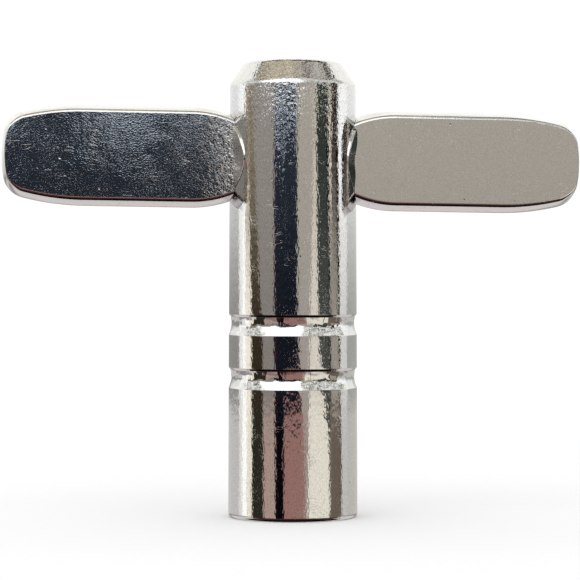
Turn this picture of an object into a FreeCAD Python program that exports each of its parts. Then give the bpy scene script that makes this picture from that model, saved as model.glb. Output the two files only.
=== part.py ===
import FreeCAD, Part
import math
import os

import Sketcher

# A winged socket key. A slightly drafted barrel stands upright, with a solid chamfered top, two shallow
# grooves in its lower half and a blind bore from below. The bore holds a hardened sleeve with the square
# socket. Two flat wings sit in a cross bore near the top by their round necks, and a dowel inside joins
# the necks end to end.
#
# Frame: +Z up along the barrel's axis, wings along X, origin at the centre of the barrel's lower end face.

# Driving dimensions, in millimetres and degrees.
DIMENSIONS = {
    # barrel
    "barrel_height": 39.0,
    "barrel_lower_diameter": 11.12,
    "barrel_upper_diameter": 10.82,
    "top_chamfer_height": 1.9,
    "top_chamfer_inset": 1.28,
    "top_crease_rounding": 0.8,
    "top_edge_rounding": 0.8,
    "foot_rounding": 0.4,
    # grooves
    "groove_pitch": 4.55,
    "lower_groove_height": 11.95,
    "groove_mouth": 1.75,
    "groove_floor": 0.75,
    "groove_depth": 0.27,
    "groove_rounding": 0.15,
    # wings
    "wing_span": 49.75,
    "wing_centre_height": 30.7,
    "wing_height": 8.65,
    "wing_thickness": 3.8,
    "wing_draft_angle": 15.5,
    "wing_face_rounding": 0.3,
    "wing_shoulder_length": 7.0,
    "wing_shoulder_radius": 22.0,
    "wing_corner_radius": 2.2,
    "wing_end_radius": 13.0,
    "wing_root_length": 8.8,
    "wing_root_radius": 10.0,
    "wing_root_start": 3.6,
    "saddle_clearance": 0.02,
    "neck_diameter": 6.6,
    "neck_reach": 5.2,
    "neck_rounding": 0.4,
    "neck_gap": 0.1,
    # dowel between the necks
    "tie_pin_diameter": 3.0,
    "tie_pin_length": 8.6,
    "tie_pin_chamfer": 0.3,
    "tie_pin_end_gap": 0.1,
    # sleeve with the square socket
    "insert_diameter": 8.2,
    "insert_length": 18.0,
    "insert_recess": 0.3,
    "insert_chamfer": 0.3,
    "socket_across_flats": 5.1,
    "socket_corner_radius": 0.35,
    "lead_in_diameter": 7.2,
    "bore_end_gap": 0.2,
    "bore_mouth_chamfer": 0.2,
    "drill_point_angle": 118.0,
}

# How Sketcher numbers the points of a piece and its own axes
LINE_START, LINE_END, CENTRE = 1, 2, 3
ROOT_POINT = (-1, 1)
X_AXIS, Y_AXIS = -1, -2

# Slack in millimetres when an edge is looked for by its place, and the least cut in cubic millimetres
NEAR = 0.02
LEAST_CUT = 0.001

doc = FreeCAD.newDocument("SocketKey")


# ---------------------------------------------------------------- helpers


def make_sheet():
    """One aliased cell for each driving dimension."""
    sheet = doc.addObject("Spreadsheet::Sheet", "Dims")
    for row, (name, size) in enumerate(DIMENSIONS.items(), start=1):
        sheet.set(f"A{row}", name)
        sheet.set(f"B{row}", str(size))
        sheet.setAlias(f"B{row}", name)
    doc.recompute()


def sized(expression):
    """The number that an expression over the sheet's cells gives."""
    return float(doc.Dims.evalExpression(expression))


def make_body(name):
    body = doc.addObject("PartDesign::Body", name)
    body.Label = name
    return body


def origin_feature(body, role):
    return next(feature for feature in body.Origin.OriginFeatures if feature.Role == role)


def sketch_on(body, name, plane_role):
    sketch = body.newObject("Sketcher::SketchObject", name)
    sketch.AttachmentSupport = [(origin_feature(body, plane_role), "")]
    sketch.MapMode = "FlatFace"
    return sketch


def bind(sketch, name, constraint, expression):
    """Adds a dimension to a sketch and ties it to the sheet."""
    index = sketch.addConstraint(constraint)
    sketch.renameConstraint(index, name)
    sketch.setExpression(f"Constraints.{name}", expression)


def place_point(sketch, name, geometry, point, across, up):
    """Locates one point by two expressions; None puts it on that axis."""
    if across is None:
        sketch.addConstraint(Sketcher.Constraint("PointOnObject", geometry, point, Y_AXIS))
    else:
        distance = Sketcher.Constraint("DistanceX", *ROOT_POINT, geometry, point, sized(across))
        bind(sketch, f"{name}_across", distance, across)
    if up is None:
        sketch.addConstraint(Sketcher.Constraint("PointOnObject", geometry, point, X_AXIS))
    else:
        distance = Sketcher.Constraint("DistanceY", *ROOT_POINT, geometry, point, sized(up))
        bind(sketch, f"{name}_up", distance, up)


def draw_polygon(sketch, corners):
    """A closed outline of straight lines. Each corner is (name, across, up)."""
    spots = [
        FreeCAD.Vector(sized(across) if across else 0, sized(up) if up else 0, 0)
        for _, across, up in corners
    ]
    count = len(corners)
    for index in range(count):
        sketch.addGeometry(Part.LineSegment(spots[index], spots[(index + 1) % count]))
    for index in range(count):
        following = (index + 1) % count
        sketch.addConstraint(
            Sketcher.Constraint("Coincident", index, LINE_END, following, LINE_START)
        )
    for index, (name, across, up) in enumerate(corners):
        place_point(sketch, name, index, LINE_START, across, up)


def draw_circle(sketch, radius_expression, across=None, up=None):
    spot = FreeCAD.Vector(sized(across) if across else 0, sized(up) if up else 0, 0)
    circle = Part.Circle(spot, FreeCAD.Vector(0, 0, 1), sized(radius_expression))
    sketch.addGeometry(circle)
    place_point(sketch, "centre", 0, CENTRE, across, up)
    bind(sketch, "radius", Sketcher.Constraint("Radius", 0, circle.Radius), radius_expression)


def extrude(body, kind, name, sketch, length_expression=None, both_sides=False, through=False):
    feature = body.newObject(f"PartDesign::{kind}", name)
    feature.Profile = sketch
    feature.SideType = "Symmetric" if both_sides else "One side"
    if through:
        feature.Type = "ThroughAll"
    else:
        feature.setExpression("Length", length_expression)
    return feature


def spin(body, kind, name, sketch, axis):
    """A full turn of a sketch about one of its own axes."""
    feature = body.newObject(f"PartDesign::{kind}", name)
    feature.Profile = sketch
    feature.ReferenceAxis = (sketch, [axis])
    feature.Angle = 360
    return feature


def edges_where(feature, wanted):
    """Names of a feature's edges that pass a test."""
    return [f"Edge{n}" for n, edge in enumerate(feature.Shape.Edges, start=1) if wanted(edge)]


def dress_edges(body, kind, name, base, wanted, size_name, size_expression):
    """A fillet or chamfer on the edges that pass a test."""
    doc.recompute()
    names = edges_where(base, wanted)
    if not names:
        raise RuntimeError(f"{name} found no edge")
    feature = body.newObject(f"PartDesign::{kind}", name)
    feature.Base = (base, names)
    feature.setExpression(size_name, size_expression)
    doc.recompute()
    return feature


def is_ring(edge, radius=None, height=None):
    """Whether an edge is a circle about Z, at a radius and height where those are given."""
    if not isinstance(edge.Curve, Part.Circle) or math.hypot(edge.Curve.Axis.x, edge.Curve.Axis.y) > NEAR:
        return False
    if radius is not None and abs(edge.Curve.Radius - radius) > NEAR:
        return False
    return height is None or abs(edge.Curve.Center.z - height) < NEAR


def volume_of(feature):
    doc.recompute()
    return feature.Shape.Volume


def must_cut(before, feature):
    """A cut that points away from the solid removes nothing, which this catches."""
    if volume_of(feature) > before - LEAST_CUT:
        raise RuntimeError(f"{feature.Name} cut nothing")


# ---------------------------------------------------------------- barrel


def make_barrel():
    """Drafted round barrel with a solid chamfered top, a blind bore, two grooves and the necks' cross bore."""
    body = make_body("barrel")
    bore_radius = "Dims.insert_diameter / 2"
    bore_top = "Dims.insert_recess + Dims.insert_length + Dims.bore_end_gap"
    point_rise = "Dims.insert_diameter / 2 / tan(Dims.drill_point_angle / 2 * 1 deg)"
    crease_height = "Dims.barrel_height - Dims.top_chamfer_height"
    top_radius = "Dims.barrel_upper_diameter / 2 - Dims.top_chamfer_inset"

    profile = sketch_on(body, "barrel_profile", "XZ_Plane")
    draw_polygon(
        profile,
        [
            ("summit", None, "Dims.barrel_height"),
            ("top_edge", top_radius, "Dims.barrel_height"),
            ("crease", "Dims.barrel_upper_diameter / 2", crease_height),
            ("foot", "Dims.barrel_lower_diameter / 2", None),
            ("mouth", f"{bore_radius} + Dims.bore_mouth_chamfer", None),
            ("bore_start", bore_radius, "Dims.bore_mouth_chamfer"),
            ("bore_end", bore_radius, bore_top),
            ("drill_point", None, f"{bore_top} + {point_rise}"),
        ],
    )
    turned = spin(body, "Revolution", "barrel_turned", profile, "V_Axis")
    solid_volume = volume_of(turned)

    groove = spin(body, "Groove", "barrel_groove", groove_sketch(body), "V_Axis")
    must_cut(solid_volume, groove)
    pair = body.newObject("PartDesign::LinearPattern", "barrel_grooves")
    pair.Originals = [groove]
    pair.Direction = (origin_feature(body, "Z_Axis"), [""])
    pair.setExpression("Length", "Dims.groove_pitch")
    pair.Occurrences = 2
    body.Tip = pair
    must_cut(groove.Shape.Volume, pair)

    cross_sketch = sketch_on(body, "cross_bore_circle", "YZ_Plane")
    draw_circle(cross_sketch, "Dims.neck_diameter / 2", up="Dims.wing_centre_height")
    cross = extrude(body, "Pocket", "cross_bore", cross_sketch, both_sides=True, through=True)
    must_cut(pair.Shape.Volume, cross)

    rims = (
        ("foot_round", "Dims.barrel_lower_diameter / 2", None, "Dims.foot_rounding"),
        ("crease_round", "Dims.barrel_upper_diameter / 2", crease_height, "Dims.top_crease_rounding"),
        ("top_round", top_radius, "Dims.barrel_height", "Dims.top_edge_rounding"),
    )
    tip = cross
    for name, radius, height, rounding in rims:
        ring_radius = sized(radius)
        ring_height = sized(height) if height else 0
        tip = dress_edges(
            body,
            "Fillet",
            name,
            tip,
            lambda edge: is_ring(edge, ring_radius, ring_height),
            "Radius",
            rounding,
        )
    bottom_groove = sized("Dims.lower_groove_height")
    top_groove = sized("Dims.lower_groove_height + Dims.groove_pitch")
    floor_radius = sized("Dims.barrel_upper_diameter / 2 - Dims.groove_depth")

    def borders_groove(edge):
        levels = (bottom_groove, top_groove)
        return (
            is_ring(edge)
            and edge.Curve.Radius > floor_radius
            and any(abs(edge.Curve.Center.z - level) < sized("Dims.groove_mouth") for level in levels)
        )

    dress_edges(
        body, "Fillet", "groove_round", tip, borders_groove, "Radius", "Dims.groove_rounding"
    )
    return body


def groove_sketch(body):
    """Section that sweeps the lower groove: a flat floor between two slopes that run on past the wall."""
    surface = (
        "(Dims.barrel_lower_diameter - (Dims.barrel_lower_diameter - Dims.barrel_upper_diameter)"
        " * Dims.lower_groove_height / (Dims.barrel_height - Dims.top_chamfer_height)) / 2"
    )
    slope = "(Dims.groove_mouth - Dims.groove_floor) / 2"
    inner, outer = f"{surface} - Dims.groove_depth", f"{surface} + Dims.groove_depth"
    sketch = sketch_on(body, "groove_section", "XZ_Plane")
    draw_polygon(
        sketch,
        [
            ("floor_low", inner, "Dims.lower_groove_height - Dims.groove_floor / 2"),
            ("mouth_low", outer, f"Dims.lower_groove_height - Dims.groove_mouth / 2 - {slope}"),
            ("mouth_high", outer, f"Dims.lower_groove_height + Dims.groove_mouth / 2 + {slope}"),
            ("floor_high", inner, "Dims.lower_groove_height + Dims.groove_floor / 2"),
        ],
    )
    return sketch


# ---------------------------------------------------------------- wings


def on_circle(centre, radius, angle):
    return centre + FreeCAD.Vector(math.cos(angle), math.sin(angle), 0) * radius


def arc_between(centre, radius, start, end):
    circle = Part.Circle(centre, FreeCAD.Vector(0, 0, 1), radius)
    return Part.ArcOfCircle(circle, start, end)


def draw_wing_outline(sketch):
    """Outline about the wing's own centre line: straight long sides, an arc falling to each outer corner,
    a small corner arc, a slightly bowed end, and arcs that narrow the wing towards the barrel."""
    half_height = sized("Dims.wing_height / 2")
    shoulder = sized("Dims.wing_shoulder_radius")
    corner = sized("Dims.wing_corner_radius")
    bow = sized("Dims.wing_end_radius")
    root = sized("Dims.wing_root_radius")
    root_start = sized("Dims.wing_root_start")
    shoulder_centre = FreeCAD.Vector(
        sized("Dims.wing_span / 2 - Dims.wing_shoulder_length"), half_height - shoulder, 0
    )
    bow_centre = FreeCAD.Vector(sized("Dims.wing_span / 2") - bow, 0, 0)
    root_centre = FreeCAD.Vector(sized("Dims.wing_root_length"), half_height - root, 0)

    # The corner arc touches both of its neighbours from inside, so its centre lies on two shrunk circles.
    near, far = shoulder - corner, bow - corner
    gap = shoulder_centre - bow_centre
    along = (far**2 - near**2 + gap.Length**2) / (2 * gap.Length)
    side = math.sqrt(far**2 - along**2)
    unit = gap / gap.Length
    normal = FreeCAD.Vector(-unit.y, unit.x, 0)
    corner_centre = max(
        (bow_centre + unit * along + normal * side * turn for turn in (1, -1)), key=lambda spot: spot.x
    )

    def angle_of(spot, centre):
        return math.atan2(spot.y - centre.y, spot.x - centre.x)

    high = angle_of(corner_centre, shoulder_centre)
    low = angle_of(corner_centre, bow_centre)
    root_turn = math.acos((root_centre.x - root_start) / root)

    def mirrored(spot):
        return FreeCAD.Vector(spot.x, -spot.y, 0)

    quarter = math.pi / 2
    top_start = FreeCAD.Vector(root_centre.x, half_height, 0)
    top_end = FreeCAD.Vector(shoulder_centre.x, half_height, 0)
    root_top = on_circle(root_centre, root, math.pi - root_turn)
    pieces = [
        Part.LineSegment(top_start, top_end),
        arc_between(shoulder_centre, shoulder, high, quarter),
        arc_between(corner_centre, corner, low, high),
        arc_between(bow_centre, bow, -low, low),
        arc_between(mirrored(corner_centre), corner, -high, -low),
        arc_between(mirrored(shoulder_centre), shoulder, -quarter, -high),
        Part.LineSegment(mirrored(top_end), mirrored(top_start)),
        arc_between(mirrored(root_centre), root, math.pi + root_turn, 3 * quarter),
        Part.LineSegment(mirrored(root_top), root_top),
        arc_between(root_centre, root, quarter, math.pi - root_turn),
    ]
    for piece in pieces:
        sketch.addGeometry(piece)
    top, upper_shoulder, upper_corner, end, lower_corner = range(5)
    lower_shoulder, bottom, lower_root, inner, upper_root = range(5, 10)

    tangencies = [
        (top, LINE_END, upper_shoulder, LINE_END),
        (upper_shoulder, LINE_START, upper_corner, LINE_END),
        (upper_corner, LINE_START, end, LINE_END),
        (end, LINE_START, lower_corner, LINE_END),
        (lower_corner, LINE_START, lower_shoulder, LINE_END),
        (lower_shoulder, LINE_START, bottom, LINE_START),
        (bottom, LINE_END, lower_root, LINE_END),
        (upper_root, LINE_START, top, LINE_START),
    ]
    for joint in tangencies:
        sketch.addConstraint(Sketcher.Constraint("Tangent", *joint))
    for first, first_end, second, second_end in (
        (lower_root, LINE_START, inner, LINE_START),
        (inner, LINE_END, upper_root, LINE_END),
    ):
        sketch.addConstraint(Sketcher.Constraint("Coincident", first, first_end, second, second_end))
    sketch.addConstraint(Sketcher.Constraint("Horizontal", top))
    sketch.addConstraint(Sketcher.Constraint("Horizontal", bottom))
    sketch.addConstraint(Sketcher.Constraint("Vertical", inner))

    radii = {
        "upper_shoulder_radius": (upper_shoulder, "Dims.wing_shoulder_radius"),
        "lower_shoulder_radius": (lower_shoulder, "Dims.wing_shoulder_radius"),
        "upper_corner_radius": (upper_corner, "Dims.wing_corner_radius"),
        "lower_corner_radius": (lower_corner, "Dims.wing_corner_radius"),
        "end_radius": (end, "Dims.wing_end_radius"),
        "upper_root_radius": (upper_root, "Dims.wing_root_radius"),
        "lower_root_radius": (lower_root, "Dims.wing_root_radius"),
    }
    for name, (geometry, expression) in radii.items():
        bind(sketch, name, Sketcher.Constraint("Radius", geometry, sized(expression)), expression)
    shoulder_across = "Dims.wing_span / 2 - Dims.wing_shoulder_length"
    place_point(sketch, "root_high", top, LINE_START, "Dims.wing_root_length", "Dims.wing_height / 2")
    place_point(sketch, "end_centre", end, CENTRE, "Dims.wing_span / 2 - Dims.wing_end_radius", None)
    place_point(sketch, "root_low", bottom, LINE_END, "Dims.wing_root_length", "-Dims.wing_height / 2")
    for name, geometry, point, across in (
        ("shoulder_high", top, LINE_END, shoulder_across),
        ("shoulder_low", bottom, LINE_START, shoulder_across),
        ("inner", inner, LINE_START, "Dims.wing_root_start"),
    ):
        distance = Sketcher.Constraint("DistanceX", *ROOT_POINT, geometry, point, sized(across))
        bind(sketch, name, distance, across)


def make_wing(name, turn):
    """One wing: a drafted paddle with rounded face edges, seated on the barrel, with a round neck and a
    dowel bore. It is drawn about its own centre line on the +X side, then raised and turned about Z."""
    body = make_body(name)
    outline = sketch_on(body, f"{name}_outline", "XZ_Plane")
    draw_wing_outline(outline)
    paddle = extrude(body, "Pad", f"{name}_paddle", outline, "Dims.wing_thickness", both_sides=True)
    paddle.setExpression("TaperAngle", "-Dims.wing_draft_angle * 1 deg")
    paddle.setExpression("TaperAngle2", "-Dims.wing_draft_angle * 1 deg")

    half_thickness = sized("Dims.wing_thickness / 2")

    def rims_face(edge):
        box = edge.BoundBox
        flat = box.YLength < NEAR and abs(abs(box.Center.y) - half_thickness) < NEAR
        return flat and box.XMax > sized("Dims.neck_reach")

    softened = dress_edges(
        body, "Fillet", f"{name}_face_round", paddle, rims_face, "Radius", "Dims.wing_face_rounding"
    )

    saddle_sketch = sketch_on(body, f"{name}_saddle_circle", "XY_Plane")
    draw_circle(saddle_sketch, "Dims.barrel_upper_diameter / 2 + Dims.saddle_clearance")
    saddle = extrude(body, "Pocket", f"{name}_saddle", saddle_sketch, both_sides=True, through=True)
    must_cut(softened.Shape.Volume, saddle)

    neck = spin(body, "Revolution", f"{name}_neck", neck_sketch(body, name), "H_Axis")
    doc.recompute()

    bore_sketch = sketch_on(body, f"{name}_pin_circle", "YZ_Plane")
    draw_circle(bore_sketch, "Dims.tie_pin_diameter / 2")
    bore = extrude(
        body,
        "Pocket",
        f"{name}_pin_bore",
        bore_sketch,
        "Dims.tie_pin_length / 2 + Dims.tie_pin_end_gap",
    )
    bore.Reversed = True
    must_cut(neck.Shape.Volume, bore)
    body.setExpression("Placement.Base.z", "Dims.wing_centre_height")
    body.Placement.Rotation = FreeCAD.Rotation(FreeCAD.Vector(0, 0, 1), turn)
    return body


def neck_sketch(body, name):
    """Half-section of the neck above the wing's centre line, with its outer end rounded over."""
    start = "Dims.neck_gap / 2"
    radius = "Dims.neck_diameter / 2"
    rounding = sized("Dims.neck_rounding")
    inner, outer, top = sized(start), sized("Dims.neck_reach"), sized(radius)
    sketch = sketch_on(body, f"{name}_neck_section", "XZ_Plane")
    corners = [(inner, 0), (inner, top), (outer - rounding, top), (outer, top - rounding), (outer, 0)]
    spots = [FreeCAD.Vector(across, up, 0) for across, up in corners]
    centre = FreeCAD.Vector(outer - rounding, top - rounding, 0)
    sketch.addGeometry(Part.LineSegment(spots[0], spots[1]))
    sketch.addGeometry(Part.LineSegment(spots[1], spots[2]))
    sketch.addGeometry(arc_between(centre, rounding, 0, math.pi / 2))
    sketch.addGeometry(Part.LineSegment(spots[3], spots[4]))
    sketch.addGeometry(Part.LineSegment(spots[4], spots[0]))
    back, upper, curve, front, axis = range(5)
    for joint in (
        (back, LINE_END, upper, LINE_START),
        (front, LINE_END, axis, LINE_START),
        (axis, LINE_END, back, LINE_START),
    ):
        sketch.addConstraint(Sketcher.Constraint("Coincident", *joint))
    sketch.addConstraint(Sketcher.Constraint("Tangent", upper, LINE_END, curve, LINE_END))
    sketch.addConstraint(Sketcher.Constraint("Tangent", curve, LINE_START, front, LINE_START))
    sketch.addConstraint(Sketcher.Constraint("Vertical", back))
    sketch.addConstraint(Sketcher.Constraint("Horizontal", upper))
    sketch.addConstraint(Sketcher.Constraint("Vertical", front))
    place_point(sketch, "start", axis, LINE_END, start, None)
    place_point(sketch, "reach", axis, LINE_START, "Dims.neck_reach", None)
    height = Sketcher.Constraint("DistanceY", *ROOT_POINT, back, LINE_END, top)
    bind(sketch, "neck_radius", height, radius)
    bind(sketch, "rounding", Sketcher.Constraint("Radius", curve, rounding), "Dims.neck_rounding")
    return sketch


# ---------------------------------------------------------------- hidden pieces


def make_tie_pin():
    """Dowel that runs from one wing's neck to the other, chamfered at both ends."""
    body = make_body("tie_pin")
    section = sketch_on(body, "tie_pin_circle", "YZ_Plane")
    draw_circle(section, "Dims.tie_pin_diameter / 2")
    rod = extrude(body, "Pad", "tie_pin_rod", section, "Dims.tie_pin_length", both_sides=True)
    dress_edges(
        body,
        "Chamfer",
        "tie_pin_ends",
        rod,
        lambda edge: isinstance(edge.Curve, Part.Circle),
        "Size",
        "Dims.tie_pin_chamfer",
    )
    body.setExpression("Placement.Base.z", "Dims.wing_centre_height")
    return body


def make_socket_insert():
    """Round sleeve, broached square from end to end, with a conical lead-in at its mouth."""
    body = make_body("socket_insert")
    outer = sketch_on(body, "insert_circle", "XY_Plane")
    draw_circle(outer, "Dims.insert_diameter / 2")
    sleeve = extrude(body, "Pad", "insert_sleeve", outer, "Dims.insert_length")

    half = "Dims.socket_across_flats / 2"
    square = sketch_on(body, "socket_square", "XY_Plane")
    draw_polygon(
        square,
        [
            ("south_west", f"-{half}", f"-{half}"),
            ("south_east", half, f"-{half}"),
            ("north_east", half, half),
            ("north_west", f"-{half}", half),
        ],
    )
    broached = extrude(body, "Pocket", "socket_broach", square, both_sides=True, through=True)
    must_cut(volume_of(sleeve), broached)

    def is_square_corner(edge):
        box = edge.BoundBox
        corner = math.hypot(box.Center.x, box.Center.y)
        upright = isinstance(edge.Curve, Part.Line) and box.ZLength > sized("Dims.insert_length / 2")
        return upright and corner < sized("Dims.insert_diameter / 2") - NEAR

    softened = dress_edges(
        body,
        "Fillet",
        "socket_corners",
        broached,
        is_square_corner,
        "Radius",
        "Dims.socket_corner_radius",
    )
    cone = sketch_on(body, "lead_in_profile", "XZ_Plane")
    draw_polygon(
        cone,
        [
            ("centre", None, None),
            ("rim", "Dims.lead_in_diameter / 2", None),
            ("tip", None, "Dims.lead_in_diameter / 2"),
        ],
    )
    lead_in = spin(body, "Groove", "lead_in", cone, "V_Axis")
    must_cut(softened.Shape.Volume, lead_in)
    outer_radius = sized("Dims.insert_diameter / 2")
    dress_edges(
        body,
        "Chamfer",
        "insert_top_chamfer",
        lead_in,
        lambda edge: is_ring(edge, outer_radius, sized("Dims.insert_length")),
        "Size",
        "Dims.insert_chamfer",
    )
    body.setExpression("Placement.Base.z", "Dims.insert_recess")
    return body


# ---------------------------------------------------------------- assembly and output


def check_everything(bodies):
    doc.recompute()
    for item in doc.Objects:
        if "Invalid" in item.State or "Error" in item.State:
            raise RuntimeError(f"{item.Name}: {item.State}")
    for body in bodies:
        if body.Shape.isNull() or not body.Shape.isValid():
            raise RuntimeError(f"{body.Label} has no valid shape")
        if len(body.Shape.Solids) != 1:
            raise RuntimeError(f"{body.Label} has {len(body.Shape.Solids)} solids")


make_sheet()
pieces = [
    make_barrel(),
    make_wing("left_wing", 180),
    make_wing("right_wing", 0),
    make_tie_pin(),
    make_socket_insert(),
]
check_everything(pieces)
os.makedirs("parts", exist_ok=True)
for piece in pieces:
    piece.Shape.exportStep(f"parts/{piece.Label}.step")
    print(piece.Label, round(piece.Shape.Volume, 2))
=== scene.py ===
import math
import random

import bmesh
import bpy
from mathutils import Matrix, Vector, kdtree, noise
from mathutils.geometry import delaunay_2d_cdt


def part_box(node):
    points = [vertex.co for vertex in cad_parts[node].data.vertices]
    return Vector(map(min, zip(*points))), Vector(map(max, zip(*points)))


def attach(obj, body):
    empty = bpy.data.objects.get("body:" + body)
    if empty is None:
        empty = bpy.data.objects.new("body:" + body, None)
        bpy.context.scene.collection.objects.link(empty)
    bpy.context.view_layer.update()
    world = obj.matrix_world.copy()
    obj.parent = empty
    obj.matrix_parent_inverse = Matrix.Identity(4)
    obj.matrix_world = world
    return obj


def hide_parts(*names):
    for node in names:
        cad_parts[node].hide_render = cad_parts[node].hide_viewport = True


# A winged socket key in bright chrome. The barrel and both wings are rebuilt here as fine meshes around the
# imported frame, so that polished metal can show its slight waviness, pits and dents. The sleeve and the dowel
# stay as packed.
#
# Lengths in this script are in millimetres until a mesh is written, and angles are in degrees.

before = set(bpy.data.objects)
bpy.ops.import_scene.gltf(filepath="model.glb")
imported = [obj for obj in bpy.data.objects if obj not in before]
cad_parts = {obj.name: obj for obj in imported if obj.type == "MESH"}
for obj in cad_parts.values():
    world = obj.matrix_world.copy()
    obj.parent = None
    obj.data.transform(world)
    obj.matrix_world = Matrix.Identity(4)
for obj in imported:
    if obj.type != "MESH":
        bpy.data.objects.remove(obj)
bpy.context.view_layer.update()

MM = 0.001

_, barrel_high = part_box("barrel")
wing_low, wing_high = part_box("right_wing")

# Barrel
BARREL_HEIGHT = barrel_high.z / MM
FOOT_RADIUS = 5.56
CROWN_RADIUS = 5.41
CHAMFER_HEIGHT = 1.9
CHAMFER_INSET = 1.28
CREASE_ROUNDING = 0.8
TOP_ROUNDING = 0.8
FOOT_ROUNDING = 0.4
GROOVE_HEIGHTS = (16.5, 11.95)
# Each groove from top to bottom: height from its middle, depth and rounding.
GROOVE_SECTION = (
    (0.875, 0.0, 0.06),
    (0.69, 0.155, 0.12),
    (0.30, 0.225, 2.0),
    (-0.08, 0.235, 1.1),
    (-0.50, 0.138, 2.0),
    (-0.875, 0.0, 0.2),
)
BORE_RADIUS = 4.1
BORE_DEPTH = 18.5
BORE_CHAMFER = 0.2
DRILL_POINT_ANGLE = 118

# Wings
WING_REACH = wing_high.x / MM
WING_CENTRE = (wing_low.z + wing_high.z) / 2 / MM
WING_HEIGHT = (wing_high.z - wing_low.z) / MM
WING_THICKNESS = 3.8
WING_DRAFT = 15.5
TIP_DRAFT_SHARE = 0.5
RIM_BOW = 0.055
WING_LEAN = 0.85
LOWER_ROUNDING = 0.3
UPPER_ROUNDING = 0.27
FACE_RIM = 0.04
SHOULDER_LENGTH = 7.0
SHOULDER_RADIUS = 22.0
CORNER_RADIUS = 2.2
END_RADIUS = 13.0
ROOT_LENGTH = 8.8
ROOT_RADIUS = 10.0
ROOT_START = 3.6
ROOT_END_ROUNDING = 1.0
NECK_RADIUS = wing_high.y / MM
NECK_START = wing_low.x / MM
NECK_STEP = 0.62
NECK_CREST = 0.22
NECK_BLEND = 0.12
NECK_CORE = 1.2
# The neck's crest stands in full on the upper half and fades below the wing's centre line.
CREST_LOWER_SHARE = 0.08
CREST_MIDDLE_SHARE = 0.5
CREST_FADE = 1.6
SIDE_SLOPE_SHARE = 0.1
SADDLE_CLEARANCE = 0.02
PIN_RADIUS = 1.5
PIN_BORE_DEPTH = 4.4

# Mesh density
SEGMENTS = 288
FINE_STEP = 0.2
COARSE_STEP = 0.8
ARC_STEP = 4
RIM_STEPS = 9
CROSS_BORE_SEGMENTS = 96
PIN_BORE_SEGMENTS = 64
RING_CLEARANCE_SHARE = 0.6
MERGE_DISTANCE = 1e-5
ON_AXIS = 1e-6
SHARP_ANGLE = 30

# Waviness and dents in the meshes: depths and widths in millimetres, grains in waves per millimetre
WAVE_DEPTH, WAVE_GRAIN = 0.004, 0.45
RIPPLE_DEPTH, RIPPLE_GRAIN = 0.0012, 1.3
GROOVE_UNEVENNESS, GROOVE_GRAIN = 0.03, 2.2
DENT_WIDTHS = (0.2, 0.5)
DENT_DEPTHS = (0.004, 0.012)
DENT_REACH = 2.5

# Polish
WING_GRAIN_DEPTH = 0.005
BARREL_GRAIN_DEPTH = 0.0075
PEEL_DEPTH = 0.006
HAMMERED_DEPTH = 0.026
WING_GRAIN = (5.0, 8.0, 9.0)
BARREL_GRAIN = (6.5, 6.5, 2.2)
# Where the casting is left rougher: the axis along which to measure, where it begins and where it is in full.
# The right wing lies outside its own zone, so it's smooth all over.
BARREL_ROUGH = ("Z", 29.0, 37.5)
LEFT_WING_ROUGH = ("X", -9.5, -4.7)
RIGHT_WING_ROUGH = ("X", 0.0, -4.7)

rng = random.Random(7)


# ---------------------------------------------------------------- outlines


def arc(centre, radius, start, end, step=ARC_STEP):
    """Points along an arc, both ends included."""
    count = max(2, math.ceil(abs(end - start) / step))
    angles = [math.radians(start + (end - start) * n / count) for n in range(count + 1)]
    return [Vector((centre[0] + radius * math.cos(a), centre[1] + radius * math.sin(a))) for a in angles]


def rounded(before, corner, after, radius):
    """The arc that rounds a corner between two straight runs."""
    before, corner, after = Vector(before), Vector(corner), Vector(after)
    back = (before - corner).normalized()
    ahead = (after - corner).normalized()
    half = back.angle(ahead) / 2
    centre = corner + (back + ahead).normalized() * radius / math.sin(half)
    first = corner + back * radius / math.tan(half) - centre
    last = corner + ahead * radius / math.tan(half) - centre
    start = math.degrees(math.atan2(first.y, first.x))
    turn = math.degrees(first.angle_signed(last))
    return arc(centre, radius, start, start - turn)


def spaced(points, step):
    """The same line with no two neighbours further apart than step."""
    filled = [points[0]]
    for point in points[1:]:
        start = filled[-1]
        count = max(1, math.ceil((point - start).length / step))
        filled += [start.lerp(point, n / count) for n in range(1, count + 1)]
    return filled


# ---------------------------------------------------------------- meshes


def new_piece(name, mesh_builder):
    """An object from a bmesh in millimetres, turned into metres."""
    mesh = bpy.data.meshes.new(name)
    bmesh.ops.scale(mesh_builder, vec=(MM, MM, MM), verts=mesh_builder.verts)
    bmesh.ops.recalc_face_normals(mesh_builder, faces=mesh_builder.faces)
    mesh_builder.to_mesh(mesh)
    mesh_builder.free()
    piece = bpy.data.objects.new(name, mesh)
    bpy.context.scene.collection.objects.link(piece)
    return piece


def bridge(builder, first, second):
    """Faces between two closed rings of the same count, either of which may be a single point."""
    count = max(len(first), len(second))
    for n in range(count):
        m = (n + 1) % count
        if len(first) == 1:
            builder.faces.new((first[0], second[m], second[n]))
        elif len(second) == 1:
            builder.faces.new((first[n], first[m], second[0]))
        else:
            builder.faces.new((first[n], first[m], second[m], second[n]))


def turned(name, profile, segments, place):
    """A closed skin from a half-section whose ends lie on the axis.

    place(radius, along, angle) gives each point.
    """
    builder = bmesh.new()
    rings = []
    for radius, along in profile:
        on_axis = radius < ON_AXIS
        angles = [0.0] if on_axis else [2 * math.pi * n / segments for n in range(segments)]
        rings.append([builder.verts.new(place(radius, along, angle)) for angle in angles])
    for first, second in zip(rings, rings[1:]):
        bridge(builder, first, second)
    return new_piece(name, builder)


def rod_section(radius, start, end):
    """Half-section of a plain rod."""
    return [Vector((0, start)), Vector((radius, start)), Vector((radius, end)), Vector((0, end))]


def about_z(radius, along, angle):
    return radius * math.cos(angle), radius * math.sin(angle), along


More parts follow.
